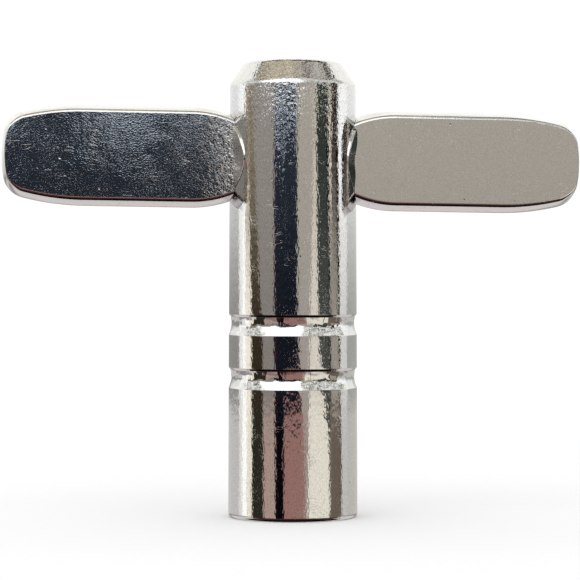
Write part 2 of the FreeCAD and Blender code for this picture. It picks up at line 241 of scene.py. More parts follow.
def about_wing_axis(radius, along, angle):
    return along, radius * math.cos(angle), WING_CENTRE + radius * math.sin(angle)


def lean(piece, side):
    """Turns a piece about the wings' centre, as the wings stand slightly out of square with the barrel."""
    centre = Vector((0, 0, WING_CENTRE * MM))
    turn = Matrix.Rotation(math.radians(WING_LEAN) * side, 4, "Y")
    piece.data.transform(Matrix.Translation(centre) @ turn @ Matrix.Translation(-centre))


def boolean(piece, tool, operation):
    """Cuts, joins or intersects with a tool, which is used up."""
    modifier = piece.modifiers.new("shape", "BOOLEAN")
    modifier.operation = operation
    modifier.solver = "EXACT"
    modifier.object = tool
    bpy.context.view_layer.update()
    graph = bpy.context.evaluated_depsgraph_get()
    result = bpy.data.meshes.new_from_object(piece.evaluated_get(graph), depsgraph=graph)
    piece.modifiers.clear()
    old = piece.data
    piece.data = result
    result.name = piece.name
    bpy.data.meshes.remove(old)
    bpy.data.objects.remove(tool)


def crisp(piece):
    """Smooth shading that breaks at real edges."""
    piece.data.shade_smooth()
    piece.data.set_sharp_from_angle(angle=math.radians(SHARP_ANGLE))


# ---------------------------------------------------------------- barrel


def groove_outline(height):
    """One groove down the straight wall."""
    corners = [(CROWN_RADIUS - depth, height + rise) for rise, depth, _ in GROOVE_SECTION]
    corners = [(CROWN_RADIUS, BARREL_HEIGHT)] + corners + [(CROWN_RADIUS, 0)]
    points = []
    for n, (_, _, rounding) in enumerate(GROOVE_SECTION):
        points += rounded(*corners[n:n + 3], rounding)
    return points


def drafted(point):
    """Widens the straight wall evenly from the crown down to the foot."""
    crease = BARREL_HEIGHT - CHAMFER_HEIGHT
    share = max(0.0, 1 - point.y / crease)
    return Vector((point.x * (1 + (FOOT_RADIUS / CROWN_RADIUS - 1) * share), point.y))


def make_barrel():
    top_radius = CROWN_RADIUS - CHAMFER_INSET
    crease_height = BARREL_HEIGHT - CHAMFER_HEIGHT
    centre, rim = (0, BARREL_HEIGHT), (top_radius, BARREL_HEIGHT)
    crease, foot = (CROWN_RADIUS, crease_height), (CROWN_RADIUS, 0)
    outside = [Vector(centre)]
    outside += rounded(centre, rim, crease, TOP_ROUNDING)
    outside += rounded(rim, crease, foot, CREASE_ROUNDING)
    for height in GROOVE_HEIGHTS:
        outside += groove_outline(height)
    outside += rounded(crease, foot, (0, 0), FOOT_ROUNDING)
    outside = [drafted(point) for point in outside]
    outside.append(Vector((BORE_RADIUS + BORE_CHAMFER, 0)))
    point_rise = BORE_RADIUS / math.tan(math.radians(DRILL_POINT_ANGLE / 2))
    bore = [
        outside[-1],
        Vector((BORE_RADIUS, BORE_CHAMFER)),
        Vector((BORE_RADIUS, BORE_DEPTH)),
        Vector((0, BORE_DEPTH + point_rise)),
    ]
    profile = spaced(outside, FINE_STEP) + spaced(bore, COARSE_STEP)[1:]
    barrel = turned("barrel_body", profile, SEGMENTS, about_z)
    reach = 2 * FOOT_RADIUS
    cutter = spaced(rod_section(NECK_RADIUS, -reach, reach), COARSE_STEP)
    cross_bore = turned("cross_bore", cutter, CROSS_BORE_SEGMENTS, about_wing_axis)
    lean(cross_bore, 1)
    boolean(barrel, cross_bore, "DIFFERENCE")
    return barrel


# ---------------------------------------------------------------- wings


def wing_outline():
    """Closed outline at the wing's mid-plane, about its own centre line, anticlockwise."""
    half = WING_HEIGHT / 2
    shoulder = Vector((WING_REACH - SHOULDER_LENGTH, half - SHOULDER_RADIUS))
    bow = Vector((WING_REACH - END_RADIUS, 0))
    root = Vector((ROOT_LENGTH, half - ROOT_RADIUS))

    # The corner arc touches both of its neighbours from inside, so its centre lies on two shrunk circles.
    near, far = SHOULDER_RADIUS - CORNER_RADIUS, END_RADIUS - CORNER_RADIUS
    gap = shoulder - bow
    along = (far**2 - near**2 + gap.length_squared) / (2 * gap.length)
    unit = gap.normalized()
    corner = bow + unit * along + Vector((unit.y, -unit.x)) * math.sqrt(far**2 - along**2)
    if corner.x < shoulder.x:
        corner = bow + unit * along + Vector((-unit.y, unit.x)) * math.sqrt(far**2 - along**2)

    def heading(centre):
        return math.degrees(math.atan2(corner.y - centre.y, corner.x - centre.x))

    high, low = heading(shoulder), heading(bow)
    root_turn = math.degrees(math.acos((root.x - ROOT_START) / ROOT_RADIUS))
    upper = (
        arc(bow, END_RADIUS, 0, low, 1)
        + arc(corner, CORNER_RADIUS, low, high)[1:]
        + arc(shoulder, SHOULDER_RADIUS, high, 90, 1)[1:]
        + arc(root, ROOT_RADIUS, 90, 180 - root_turn, 2)
    )
    upper[-2:] = rounded(upper[-3], upper[-1], (ROOT_START, 0), ROOT_END_ROUNDING)
    lower = [Vector((point.x, -point.y)) for point in reversed(upper)]
    return spaced(upper + lower[:-1] + [upper[0]], FINE_STEP)[:-1]


def inward_normals(outline):
    normals = []
    for n in range(len(outline)):
        run = outline[(n + 1) % len(outline)] - outline[n - 1]
        normals.append(Vector((-run.y, run.x)).normalized())
    return normals


def inset(outline, amount):
    """The outline moved inwards along its own normals, by less at the wing's end."""
    moved = []
    corner_start = max(point.x for point in outline) - CORNER_RADIUS
    for point, normal in zip(outline, inward_normals(outline)):
        end_share = min(1.0, max(0.0, (point.x - corner_start) / CORNER_RADIUS)) * normal.x ** 4
        moved.append(point + normal * amount * (1 - (1 - TIP_DRAFT_SHARE) * end_share))
    return moved


def face_triangles(ring):
    """Fills a flat ring with even triangles.

    Returns the inner points, and faces whose numbers count the ring's points first.
    """
    low_x, high_x = min(p.x for p in ring), max(p.x for p in ring)
    low_y, high_y = min(p.y for p in ring), max(p.y for p in ring)
    count = len(ring)
    tree = kdtree.KDTree(count)
    for n, point in enumerate(ring):
        tree.insert((point.x, point.y, 0), n)
    tree.balance()
    lattice = []
    row_step = FINE_STEP * math.sqrt(3) / 2
    rows = int((high_y - low_y) / row_step)
    columns = int((high_x - low_x) / FINE_STEP)
    for row in range(rows + 1):
        for column in range(columns + 1):
            spot = Vector((low_x + (column + 0.5 * (row % 2)) * FINE_STEP, low_y + row * row_step))
            _, nearest, distance = tree.find((spot.x, spot.y, 0))
            behind = ring[nearest - 1]
            ahead = ring[(nearest + 1) % count]
            inside = (ahead - behind).cross(spot - ring[nearest]) > 0
            if inside and distance > RING_CLEARANCE_SHARE * FINE_STEP:
                lattice.append(spot)
    border = [list(range(count))]
    _, _, faces, origins, _, _ = delaunay_2d_cdt(ring + lattice, [], border, 1, MERGE_DISTANCE)
    where = [origin[0] for origin in origins]
    return lattice, [[where[n] for n in face] for face in faces]


def rim_section(rounding):
    """Inset and depth down one side of the rim, from the mid-plane over the rounded edge onto the face."""
    half = WING_THICKNESS / 2
    inset_at_face = half * math.tan(math.radians(WING_DRAFT))
    edge = rounded((0, 0), (inset_at_face, half), (2 * inset_at_face, half), rounding)
    points = [Vector((0, 0)).lerp(edge[0], n / RIM_STEPS) for n in range(RIM_STEPS)] + edge
    for point in points:
        point.x -= RIM_BOW * 4 * (point.y / half) * (1 - point.y / half)
    return points + [points[-1] + Vector((FACE_RIM, 0))]


def make_paddle():
    """The wing's flat part on the +X side, drafted both ways from its mid-plane.

    Its upper edges are slightly sharper than its lower ones.
    """
    outline = wing_outline()
    upward = [0.5 - 0.5 * normal.y for normal in inward_normals(outline)]
    lower_side, upper_side = rim_section(LOWER_ROUNDING), rim_section(UPPER_ROUNDING)
    builder = bmesh.new()

    def lift(points, depths):
        return [builder.verts.new((p.x, depth, WING_CENTRE + p.y)) for p, depth in zip(points, depths)]

    flat_rings, depth_rings = [], []
    for low, high in zip(lower_side, upper_side):
        pairs = zip(inset(outline, low.x), inset(outline, high.x), upward)
        flat_rings.append([first.lerp(second, share) for first, second, share in pairs])
        depth_rings.append([low.y + (high.y - low.y) * share for share in upward])
    sections = list(zip(flat_rings, depth_rings))
    rings = [lift(points, [-depth for depth in depths]) for points, depths in reversed(sections)]
    rings += [lift(points, depths) for points, depths in sections[1:]]
    for first, second in zip(rings, rings[1:]):
        bridge(builder, first, second)
    lattice, faces = face_triangles(flat_rings[-1])
    for ring, depth in ((rings[0], -WING_THICKNESS / 2), (rings[-1], WING_THICKNESS / 2)):
        verts = ring + lift(lattice, [depth] * len(lattice))
        for face in faces:
            builder.faces.new([verts[n] for n in face])
    return new_piece("paddle", builder)


def make_neck():
    """The round neck, from inside the barrel out to a sloping step that runs down to the wing's faces.

    Along the neck, -1 is its inner end and 0 the barrel's surface, and from there on it's in millimetres.
    """
    radius = NECK_RADIUS - SADDLE_CLEARANCE
    seat_radius = drafted(Vector((CROWN_RADIUS, WING_CENTRE))).x + SADDLE_CLEARANCE
    slope = (NECK_RADIUS - WING_THICKNESS / 2) / NECK_STEP
    crest, toe = (NECK_CREST, radius), (NECK_CREST + (radius - NECK_CORE) / slope, NECK_CORE)
    outer = [Vector((0, radius))] + rounded((0, radius), crest, toe, NECK_BLEND) + [Vector(toe)]
    profile = [Vector((0, -1)), Vector((radius, -1)), Vector((radius, 0))]
    profile += [Vector((point.y, point.x)) for point in spaced(outer, NECK_BLEND)[1:]]
    profile.append(Vector((0, profile[-1].y)))

    def place(distance, along, angle):
        crest_share = min(1.0, max(CREST_LOWER_SHARE, CREST_MIDDLE_SHARE + CREST_FADE * math.sin(angle)))
        if 0 < along <= NECK_CREST:
            along *= crest_share
        elif along > NECK_CREST:
            along = toe[0] - (toe[0] - along) * (toe[0] - NECK_CREST * crest_share) / (toe[0] - NECK_CREST)
        seat = math.sqrt(seat_radius**2 - (radius * math.cos(angle)) ** 2)
        if along < 0:
            seat += (seat - NECK_START) * along
        else:
            seat += along * max(SIDE_SLOPE_SHARE, math.sqrt(abs(math.cos(angle))))
        if distance < NECK_CORE:
            seat = NECK_START if along < 0 else seat_radius + NECK_STEP
        return about_wing_axis(distance, seat, angle)

    return turned("neck", profile, SEGMENTS, place)


def make_wing(name, side):
    """Paddle and neck as one piece. side is 1 for the wing towards +X and -1 for the other.

    Both are built towards +X, and the other is then turned half round about Z.
    """
    wing = make_paddle()
    wing.name = name
    lean(wing, side)
    seat_radius = CROWN_RADIUS + SADDLE_CLEARANCE
    seat = [Vector((0, 0)), drafted(Vector((seat_radius, 0)))]
    seat += [Vector((seat_radius, BARREL_HEIGHT)), Vector((0, BARREL_HEIGHT))]
    boolean(wing, turned("saddle", spaced(seat, COARSE_STEP), SEGMENTS, about_z), "DIFFERENCE")
    neck = make_neck()
    lean(neck, side)
    boolean(wing, neck, "UNION")
    bore = spaced(rod_section(PIN_RADIUS, -1, PIN_BORE_DEPTH), COARSE_STEP)
    boolean(wing, turned("pin_bore", bore, PIN_BORE_SEGMENTS, about_wing_axis), "DIFFERENCE")
    if side < 0:
        for vertex in wing.data.vertices:
            vertex.co.x *= -1
            vertex.co.y *= -1
    return wing


# ---------------------------------------------------------------- wear in the surface


def in_groove(height):
    """1 at the middle of a groove, falling to 0 at its edges."""
    reach = GROOVE_SECTION[0][0]
    return max(max(0.0, 1 - (abs(height - middle) / reach) ** 4) for middle in GROOVE_HEIGHTS)


def weather(piece, dents):
    """Lets polished metal wander by a few microns, more in the grooves, and gives it some shallow dents."""
    mesh = piece.data
    tree = kdtree.KDTree(len(mesh.vertices))
    for vertex in mesh.vertices:
        tree.insert(vertex.co, vertex.index)
    tree.balance()
    depths = [0.0] * len(mesh.vertices)
    for vertex in mesh.vertices:
        place = vertex.co / MM
        wave = WAVE_DEPTH * noise.noise(place * WAVE_GRAIN)
        ripple = RIPPLE_DEPTH * noise.noise(place * RIPPLE_GRAIN)
        unevenness = GROOVE_UNEVENNESS * in_groove(place.z) * noise.noise(place * GROOVE_GRAIN)
        depths[vertex.index] = wave + ripple + unevenness
    for _ in range(dents):
        middle = mesh.vertices[rng.randrange(len(mesh.vertices))].co
        width = rng.uniform(*DENT_WIDTHS)
        depth = rng.uniform(*DENT_DEPTHS)
        for _, index, distance in tree.find_range(middle, DENT_REACH * width * MM):
            depths[index] -= depth * math.exp(-((distance / MM / width) ** 2))
    normals = [vertex.normal.copy() for vertex in mesh.vertices]
    for vertex in mesh.vertices:
        vertex.co += normals[vertex.index] * depths[vertex.index] * MM


# ---------------------------------------------------------------- node helpers


def feed(tree, value, socket):
    """Links a node's output to a socket, or sets the socket to a plain value."""
    if isinstance(value, bpy.types.NodeSocket):
        tree.links.new(value, socket)
    else:
        socket.default_value = value


def calc(tree, operation, *values):
    node = tree.nodes.new("ShaderNodeMath")
    node.operation = operation
    for socket, value in zip(node.inputs, values):
        feed(tree, value, socket)
    return node.outputs["Value"]


def product(tree, first, *others):
    for other in others:
        first = calc(tree, "MULTIPLY", first, other)
    return first


def vector_calc(tree, operation, *values):
    node = tree.nodes.new("ShaderNodeVectorMath")
    node.operation = operation
    for socket, value in zip(node.inputs, values):
        feed(tree, value, socket)
    return node.outputs["Value" if operation == "LENGTH" else "Vector"]


def components(tree, vector):
    """A vector's X, Y and Z, by name."""
    node = tree.nodes.new("ShaderNodeSeparateXYZ")
    feed(tree, vector, node.inputs["Vector"])
    return node.outputs


def ramp_between(tree, value, start, end, low=0.0, high=1.0):
    """A smooth step from low at start to high at end."""
    node = tree.nodes.new("ShaderNodeMapRange")
    node.interpolation_type = "SMOOTHSTEP"
    inputs = {"Value": value, "From Min": start, "From Max": end, "To Min": low, "To Max": high}
    for name, number in inputs.items():
        feed(tree, number, node.inputs[name])
    return node.outputs["Result"]


def mix_colours(tree, share, first, second):
    node = tree.nodes.new("ShaderNodeMix")
    node.data_type = "RGBA"
    feed(tree, share, node.inputs["Factor"])
    colour_sockets = [socket for socket in node.inputs if socket.type == "RGBA"]
    feed(tree, first, colour_sockets[0])
    feed(tree, second, colour_sockets[1])
    return next(socket for socket in node.outputs if socket.type == "RGBA")


def linear(red, green, blue, gain=1.0):
    """A display colour, 0 to 255 a channel, as the linear light that shows it."""
    def light(level):
        level /= 255
        return level / 12.92 if level <= 0.04045 else ((level + 0.055) / 1.055) ** 2.4

    return light(red) * gain, light(green) * gain, light(blue) * gain, 1.0


def noise_at(tree, vector, scale, detail=2.0, roughness=0.5):
    node = tree.nodes.new("ShaderNodeTexNoise")
    feed(tree, vector, node.inputs["Vector"])
    node.inputs["Scale"].default_value = scale
    node.inputs["Detail"].default_value = detail
    node.inputs["Roughness"].default_value = roughness
    return node.outputs["Fac"]


def scaled_vector(tree, vector, scale, rotation=(0, 0, 0)):
    node = tree.nodes.new("ShaderNodeMapping")
    feed(tree, vector, node.inputs["Vector"])
    node.inputs["Scale"].default_value = scale
    node.inputs["Rotation"].default_value = [math.radians(angle) for angle in rotation]
    return node.outputs["Vector"]


def millimetres(tree):
    """Where a point is on the object, in millimetres."""
    node = tree.nodes.new("ShaderNodeTexCoord")
    return scaled_vector(tree, node.outputs["Object"], (1 / MM,) * 3)


def new_material(name):
    material = bpy.data.materials.new(name)
    material.use_nodes = True
    tree = material.node_tree
    tree.nodes.clear()
    output = tree.nodes.new("ShaderNodeOutputMaterial")
    return material, tree, output


# ---------------------------------------------------------------- materials

# Grains are in cells per millimetre. A step is where a noise from 0 to 1 turns from one state to the other.
PEEL_GRAIN = 1.3
PATCH_GRAIN = 0.3
PATCH_STEP = (0.35, 0.65)
PATCH_RANGE = (0.75, 1.3)
HAMMERED_GRAIN = 3.4
# Pits: cells per millimetre, width as a share of a cell, and the share of cells that hold one.
DEEP_PITS = (0.9, 0.12, 0.12)
FINE_PITS = (6.0, 0.40, 0.4)
SPARSE_PITS = (2.2, 0.13, 0.15)
DEEP_PIT_DEPTH = 0.010
FINE_PIT_DEPTH = 0.007
SPARSE_PIT_DEPTH = 0.006
# Scratches: turn about each axis, waves across and along the lines, and the grain that breaks them up.
SCRATCH_SETS = (
    ((0, 25, 0), 3.0, 0.35, 0.5),
    ((0, -40, 15), 3.5, 0.3, 0.6),
)
SCRATCH_WIDTH = 0.008
SCRATCH_BREAKS = (0.64, 0.70)
SCRATCH_DEPTH = 0.002
SCRATCH_ROUGHNESS = 0.1

HAZE_GRAIN = 0.8
HAZE_STEP = (0.3, 0.75)
HAZE_ROUGHNESS = (0.015, 0.05)
WORN_GRAIN = 0.35
WORN_STEP = (0.35, 0.65)
WORN_RANGE = (0.25, 1.0)
ROUGH_END_WEAR = 1.6
SPECK_STRETCH = 2.0
SPECK_STEP = (0.53, 0.68)
SPECK_ROUGHNESS = 0.20

PLATING_GRAIN = 1.3
PLATING_STEP = (0.3, 0.7)
PLATING_DARK = (0.60, 0.60, 0.60, 1)
PLATING_BRIGHT = (0.84, 0.84, 0.845, 1)
PIT_COLOUR = (0.25, 0.24, 0.22, 1)
PIT_COLOUR_SHARE = 0.7

BROACH_STRETCH = (6, 6, 0.3)
BROACH_DEPTH = 0.02
STEEL_BLOTCH_GRAIN = 0.7
STEEL_ROUGHNESS_STEP = (0.3, 0.7)
STEEL_ROUGHNESS = (0.28, 0.5)
STEEL_TONE_STEP = (0.35, 0.65)
STEEL_DARK = (0.20, 0.19, 0.18, 1)
STEEL_LIGHT = (0.38, 0.37, 0.36, 1)


def scratches(tree, place, rotation, across, along, level):
    """Thin lines where a stretched noise crosses its middle, broken into short runs."""
    stretched = scaled_vector(tree, place, (along, across, across), rotation)
    line = calc(tree, "ABSOLUTE", calc(tree, "SUBTRACT", noise_at(tree, stretched, 1.0, 1.0), 0.5))
    thin = ramp_between(tree, line, 0.0, SCRATCH_WIDTH, 1.0, 0.0)
    broken = ramp_between(tree, noise_at(tree, place, level, 1.0), *SCRATCH_BREAKS)
    return product(tree, thin, broken)


def pits(tree, place, scale, width, chance):
    """Round pits, one at most in each cell of a lattice. Returns their depth, 0 to 1."""
    cells = tree.nodes.new("ShaderNodeTexVoronoi")
    feed(tree, place, cells.inputs["Vector"])
    cells.inputs["Scale"].default_value = scale
    shape = ramp_between(tree, cells.outputs["Distance"], 0.0, width, 1.0, 0.0)
    draw = tree.nodes.new("ShaderNodeSeparateColor")
    feed(tree, cells.outputs["Color"], draw.inputs["Color"])
    return product(tree, shape, calc(tree, "LESS_THAN", draw.outputs["Red"], chance))


def metal_shader(tree, output, height, roughness, tone):
    """Bare metal with a bumped surface. The height is in millimetres."""
    bump = tree.nodes.new("ShaderNodeBump")
    bump.inputs["Distance"].default_value = MM
    feed(tree, height, bump.inputs["Height"])
    metal = tree.nodes.new("ShaderNodeBsdfPrincipled")
    metal.inputs["Metallic"].default_value = 1.0
    feed(tree, roughness, metal.inputs["Roughness"])
    feed(tree, tone, metal.inputs["Base Color"])
    feed(tree, bump.outputs["Normal"], metal.inputs["Normal"])
    feed(tree, metal.outputs["BSDF"], output.inputs["Surface"])


def chrome_height(tree, place, stretch, grain_depth, rough_end, deep, marks):
    """Grain, orange peel and hammered roughness, less the pits and scratches."""
    grain = noise_at(tree, scaled_vector(tree, place, stretch), 1.0, 1.0)
    patches = ramp_between(tree, noise_at(tree, place, PATCH_GRAIN, 2.0), *PATCH_STEP, *PATCH_RANGE)
    height = product(tree, grain, patches, grain_depth)
    hammered = product(tree, noise_at(tree, place, HAMMERED_GRAIN, 2.0), rough_end)
    fine = product(tree, pits(tree, place, *FINE_PITS), rough_end)
    for layer, depth in (
        (noise_at(tree, place, PEEL_GRAIN, 1.0), PEEL_DEPTH),
        (hammered, HAMMERED_DEPTH),
        (deep, -DEEP_PIT_DEPTH),
        (fine, -FINE_PIT_DEPTH),
        (pits(tree, place, *SPARSE_PITS), -SPARSE_PIT_DEPTH),
        (marks, -SCRATCH_DEPTH),
    ):
        height = calc(tree, "MULTIPLY_ADD", layer, depth, height)
    return height


def chrome_roughness(tree, place, speck_place, rough_end, marks):
    """Haze, specks where the polish is worn, and scratches."""
    haze = noise_at(tree, place, HAZE_GRAIN, 4.0)
    roughness = ramp_between(tree, haze, *HAZE_STEP, *HAZE_ROUGHNESS)
    worn = ramp_between(tree, noise_at(tree, place, WORN_GRAIN, 3.0), *WORN_STEP, *WORN_RANGE)
    worn = calc(tree, "MAXIMUM", worn, calc(tree, "MULTIPLY", rough_end, ROUGH_END_WEAR))
    specks = ramp_between(tree, noise_at(tree, speck_place, 1.0, 2.0), *SPECK_STEP)
    roughness = calc(tree, "MULTIPLY_ADD", product(tree, specks, worn), SPECK_ROUGHNESS, roughness)
    return calc(tree, "MULTIPLY_ADD", marks, SCRATCH_ROUGHNESS, roughness)


def chrome_material(name, stretch, grain_depth, rough_zone):
    """Bright plating over a hand-polished casting: brushed grain, pits, scratches and haze.

    stretch draws the grain out along X, Y and Z. rough_zone says where the casting is left rougher.
    """
    material, tree, output = new_material(name)
    place = millimetres(tree)
    axis, begins, full = rough_zone
    rough_end = ramp_between(tree, components(tree, place)[axis], begins, full)
    speck_place = scaled_vector(tree, place, [SPECK_STRETCH * share for share in stretch])
    deep = pits(tree, place, *DEEP_PITS)
    marks = calc(tree, "ADD", *[scratches(tree, place, *lines) for lines in SCRATCH_SETS])
    height = chrome_height(tree, place, stretch, grain_depth, rough_end, deep, marks)
    roughness = chrome_roughness(tree, place, speck_place, rough_end, marks)
    plating = ramp_between(tree, noise_at(tree, speck_place, PLATING_GRAIN, 3.0, 0.7), *PLATING_STEP)
    tone = mix_colours(tree, plating, PLATING_DARK, PLATING_BRIGHT)
    tone = mix_colours(tree, calc(tree, "MULTIPLY", deep, PIT_COLOUR_SHARE), tone, PIT_COLOUR)
    metal_shader(tree, output, height, roughness, tone)
    return material


def steel_material():
    """Hardened steel, left dark from the quench, with tool marks along it and a film of oil."""
    material, tree, output = new_material("dark_steel")
    place = millimetres(tree)
    broach = noise_at(tree, scaled_vector(tree, place, BROACH_STRETCH), 1.0, 3.0)
    blotches = noise_at(tree, place, STEEL_BLOTCH_GRAIN, 4.0)
    height = calc(tree, "MULTIPLY", broach, BROACH_DEPTH)
    roughness = ramp_between(tree, blotches, *STEEL_ROUGHNESS_STEP, *STEEL_ROUGHNESS)
    tone = mix_colours(tree, ramp_between(tree, blotches, *STEEL_TONE_STEP), STEEL_DARK, STEEL_LIGHT)
    metal_shader(tree, output, height, roughness, tone)
    return material


# ---------------------------------------------------------------- studio

# What the chrome mirrors: tall cards around the object, read from left to right in front of it. Each runs
# from its own left edge to the next card. Edges and colours are given at three elevations: high, middle and
# low. They aren't worked out from the model. A separate program printed the elevations and most of the edges,
# traced back from the stripes on the real key's barrel as measured in its photo. The colours began as
# averages of those stripes in the photo and were then adjusted.
CARD_ELEVATIONS = (8.2, -2.5, -7.1)
CARDS = (
    ("left_wall", (-180, -180, -180), ((218, 219, 218), (134, 132, 129), (184, 182, 180))),
    ("left_lamp", (-122, -116, -116), ((242, 242, 240), (224, 223, 220), (212, 211, 208))),
    ("left_glare", (-108, -106, -106), ((255, 255, 252), (252, 250, 246), (250, 249, 246))),
    ("left_frame", (-101.7, -98.4, -93.8), ((136, 125, 106), (235, 228, 212), (226, 218, 200))),
    ("left_dark", (-93, -83.7, -82), ((124, 113, 97), (48, 40, 30), (40, 38, 30))),
    ("left_grey", (-84, -60.5, -57.9), ((138, 133, 127), (126, 120, 114), (160, 138, 129))),
    ("dark_edge", (-39, -38.4, -36.4), ((60, 62, 70), (44, 22, 26), (20, 10, 14))),
    ("front_dark", (-38, -34.8, -31), ((39, 44, 52), (18, 22, 30), (6, 8, 14))),
    ("front_step", (-20.9, -20.9, -20.9), ((39, 44, 52), (16, 20, 28), (142, 106, 100))),
    ("front_grey", (2.4, 4.0, 16.2), ((160, 154, 144), (154, 147, 139), (152, 138, 130))),
    ("cream", (34.2, 25.4, 22.5), ((190, 180, 166), (208, 200, 188), (218, 213, 199))),
    ("right_dark", (37.1, 41.2, 62.8), ((44, 51, 45), (64, 67, 64), (98, 88, 78))),
    ("dark_rim", (57, 63.5, 64), ((14, 16, 14), (20, 22, 22), (102, 92, 82))),
    ("light_line", (61.6, 66.4, 66), ((212, 204, 190), (132, 126, 116), (108, 96, 86))),
    ("right_brown", (67.4, 68.4, 69), ((44, 32, 24), (148, 142, 132), (98, 88, 78))),
    ("black_line", (77.8, 84.1, 89), ((22, 17, 13), (18, 16, 14), (70, 62, 54))),
    ("right_lamp", (84, 87.9, 91.3), ((246, 246, 244), (203, 201, 197), (186, 184, 180))),
    ("right_wall", (110, 108, 108), ((224, 224, 223), (154, 154, 150), (180, 177, 172))),
)
CARD_SOFTNESS = 0.7
LOW_STEP = (-4.6, -6.0)
TENT_RADIUS = 250.0
TENT_RINGS = 32
TENT_STRENGTH = 1.40
TENT_CENTRE = 20.0

# Flecks in the dark card straight ahead
FLECK_COLOUR = (186, 197, 210)
FLECK_GRAIN = 30.0
FLECK_THICKENING = (5.0, 9.0)
FLECK_THRESHOLDS = (0.68, 0.49)
FLECK_SOFTNESS = 0.06
FLECK_LEFT = (-38, -36)
FLECK_RIGHT = (0, 2)
FLECK_BOTTOM = (1.0, 4.0)

# Overhead, with the dark and the light tone of each mottled part
OVERHEAD_START = (11.5, 14)
MOTTLE_GRAIN = 9.0
SKY_MOTTLE = (0.42, 0.56)
WHITE_LEFT = (-72, -62)
WHITE_RIGHT = (11, 18)
WHITE_COLOUR = (255, 255, 255, 1.1)
SIDE_SKY = ((96, 94, 84), (226, 226, 222))
BACK_START = (100, 108)
BACK_SKY = ((224, 222, 212), (242, 242, 239))

# The ceiling panel, measured on a level plane at a height of 1, with each end's light and dark tone
PANEL_MOTTLE = (0.4, 0.6)
PANEL_FRONT = (-0.66, -0.58)
PANEL_SIDE = (0.93, 1.01)
PANEL_BACK = (0.25, 0.14)
PANEL_BACK_TURN = (-10, 20)
PANEL_SOFTNESS = 0.04
PANEL_LEFT = ((226, 218, 194), (118, 106, 92))
PANEL_RIGHT = ((208, 206, 198), (78, 60, 54))
PANEL_CHANGE = (-0.15, 0.3)
RIM_BACK = (0.50, 0.58)
RIM_SIDE = (1.06, 1.14)
RIM_COLOUR = (42, 36, 32)

# Underneath
GROUND_START = (-14, -11)
GROUND_SIDE = (85, 95)
BEHIND_RISE = (-26, -17)
BEHIND_COLOURS = ((196, 190, 188), (134, 130, 130))
AHEAD_RISE = (-32, -17)
AHEAD_COLOUR = (56, 38, 36)
BLACK_ELEVATIONS = (-46, -60)
BLACK_SOFTNESS = 4
BLACK_COLOUR = (8, 7, 8)


def at_elevation(tree, elevation, values):
    """A number that runs in straight lines between its values at the three card elevations."""
    high, middle, low = CARD_ELEVATIONS
    above = calc(tree, "MAXIMUM", calc(tree, "SUBTRACT", elevation, middle), 0.0)
    below = calc(tree, "MINIMUM", calc(tree, "SUBTRACT", elevation, middle), 0.0)
    above = calc(tree, "MINIMUM", above, high - middle)
    below = calc(tree, "MAXIMUM", below, low - middle)
    rising = calc(tree, "MULTIPLY_ADD", above, (values[0] - values[1]) / (high - middle), values[1])
    return calc(tree, "MULTIPLY_ADD", below, (values[1] - values[2]) / (middle - low), rising)


def card_colour(tree, elevation, colours):
    high, middle, _ = CARD_ELEVATIONS
    upper = ramp_between(tree, elevation, middle, high)
    lower = ramp_between(tree, elevation, *LOW_STEP)
    tone = mix_colours(tree, upper, linear(*colours[1]), linear(*colours[0]))
    return mix_colours(tree, lower, tone, linear(*colours[2]))


def two_tones(tree, share, colours):
    return mix_colours(tree, share, linear(*colours[0]), linear(*colours[1]))


def card_tone(tree, azimuth, elevation):
    """The tall cards, each laid over the one on its left."""
    _, _, first_colours = CARDS[0]
    tone = card_colour(tree, elevation, first_colours)
    for _, edges, colours in CARDS[1:]:
        past = calc(tree, "SUBTRACT", azimuth, at_elevation(tree, elevation, edges))
        share = ramp_between(tree, past, -CARD_SOFTNESS, CARD_SOFTNESS)
        tone = mix_colours(tree, share, tone, card_colour(tree, elevation, colours))
    return tone


def flecked(tree, tone, direction, azimuth, elevation):
    """Light blue flecks in the dark card straight ahead, denser higher up."""
    threshold = ramp_between(tree, elevation, *FLECK_THICKENING, *FLECK_THRESHOLDS)
    excess = calc(tree, "SUBTRACT", noise_at(tree, direction, FLECK_GRAIN, 1.0), threshold)
    flecks = product(
        tree,
        ramp_between(tree, excess, 0.0, FLECK_SOFTNESS),
        ramp_between(tree, azimuth, *FLECK_LEFT),
        ramp_between(tree, azimuth, *FLECK_RIGHT, 1.0, 0.0),
        ramp_between(tree, elevation, *FLECK_BOTTOM),
    )
    return mix_colours(tree, flecks, tone, linear(*FLECK_COLOUR))


def open_sky(tree, azimuth, mottle):
    """Overhead: white in front, mottled to both sides and slightly greyer behind."""
    over_left = ramp_between(tree, azimuth, *WHITE_LEFT)
    over_right = ramp_between(tree, azimuth, *WHITE_RIGHT, 1.0, 0.0)
    blotched = ramp_between(tree, mottle, *SKY_MOTTLE)
    side_sky = two_tones(tree, blotched, SIDE_SKY)
    sky = mix_colours(tree, product(tree, over_left, over_right), side_sky, linear(*WHITE_COLOUR))
    aside = calc(tree, "ABSOLUTE", azimuth)
    return mix_colours(tree, ramp_between(tree, aside, *BACK_START), sky, two_tones(tree, blotched, BACK_SKY))


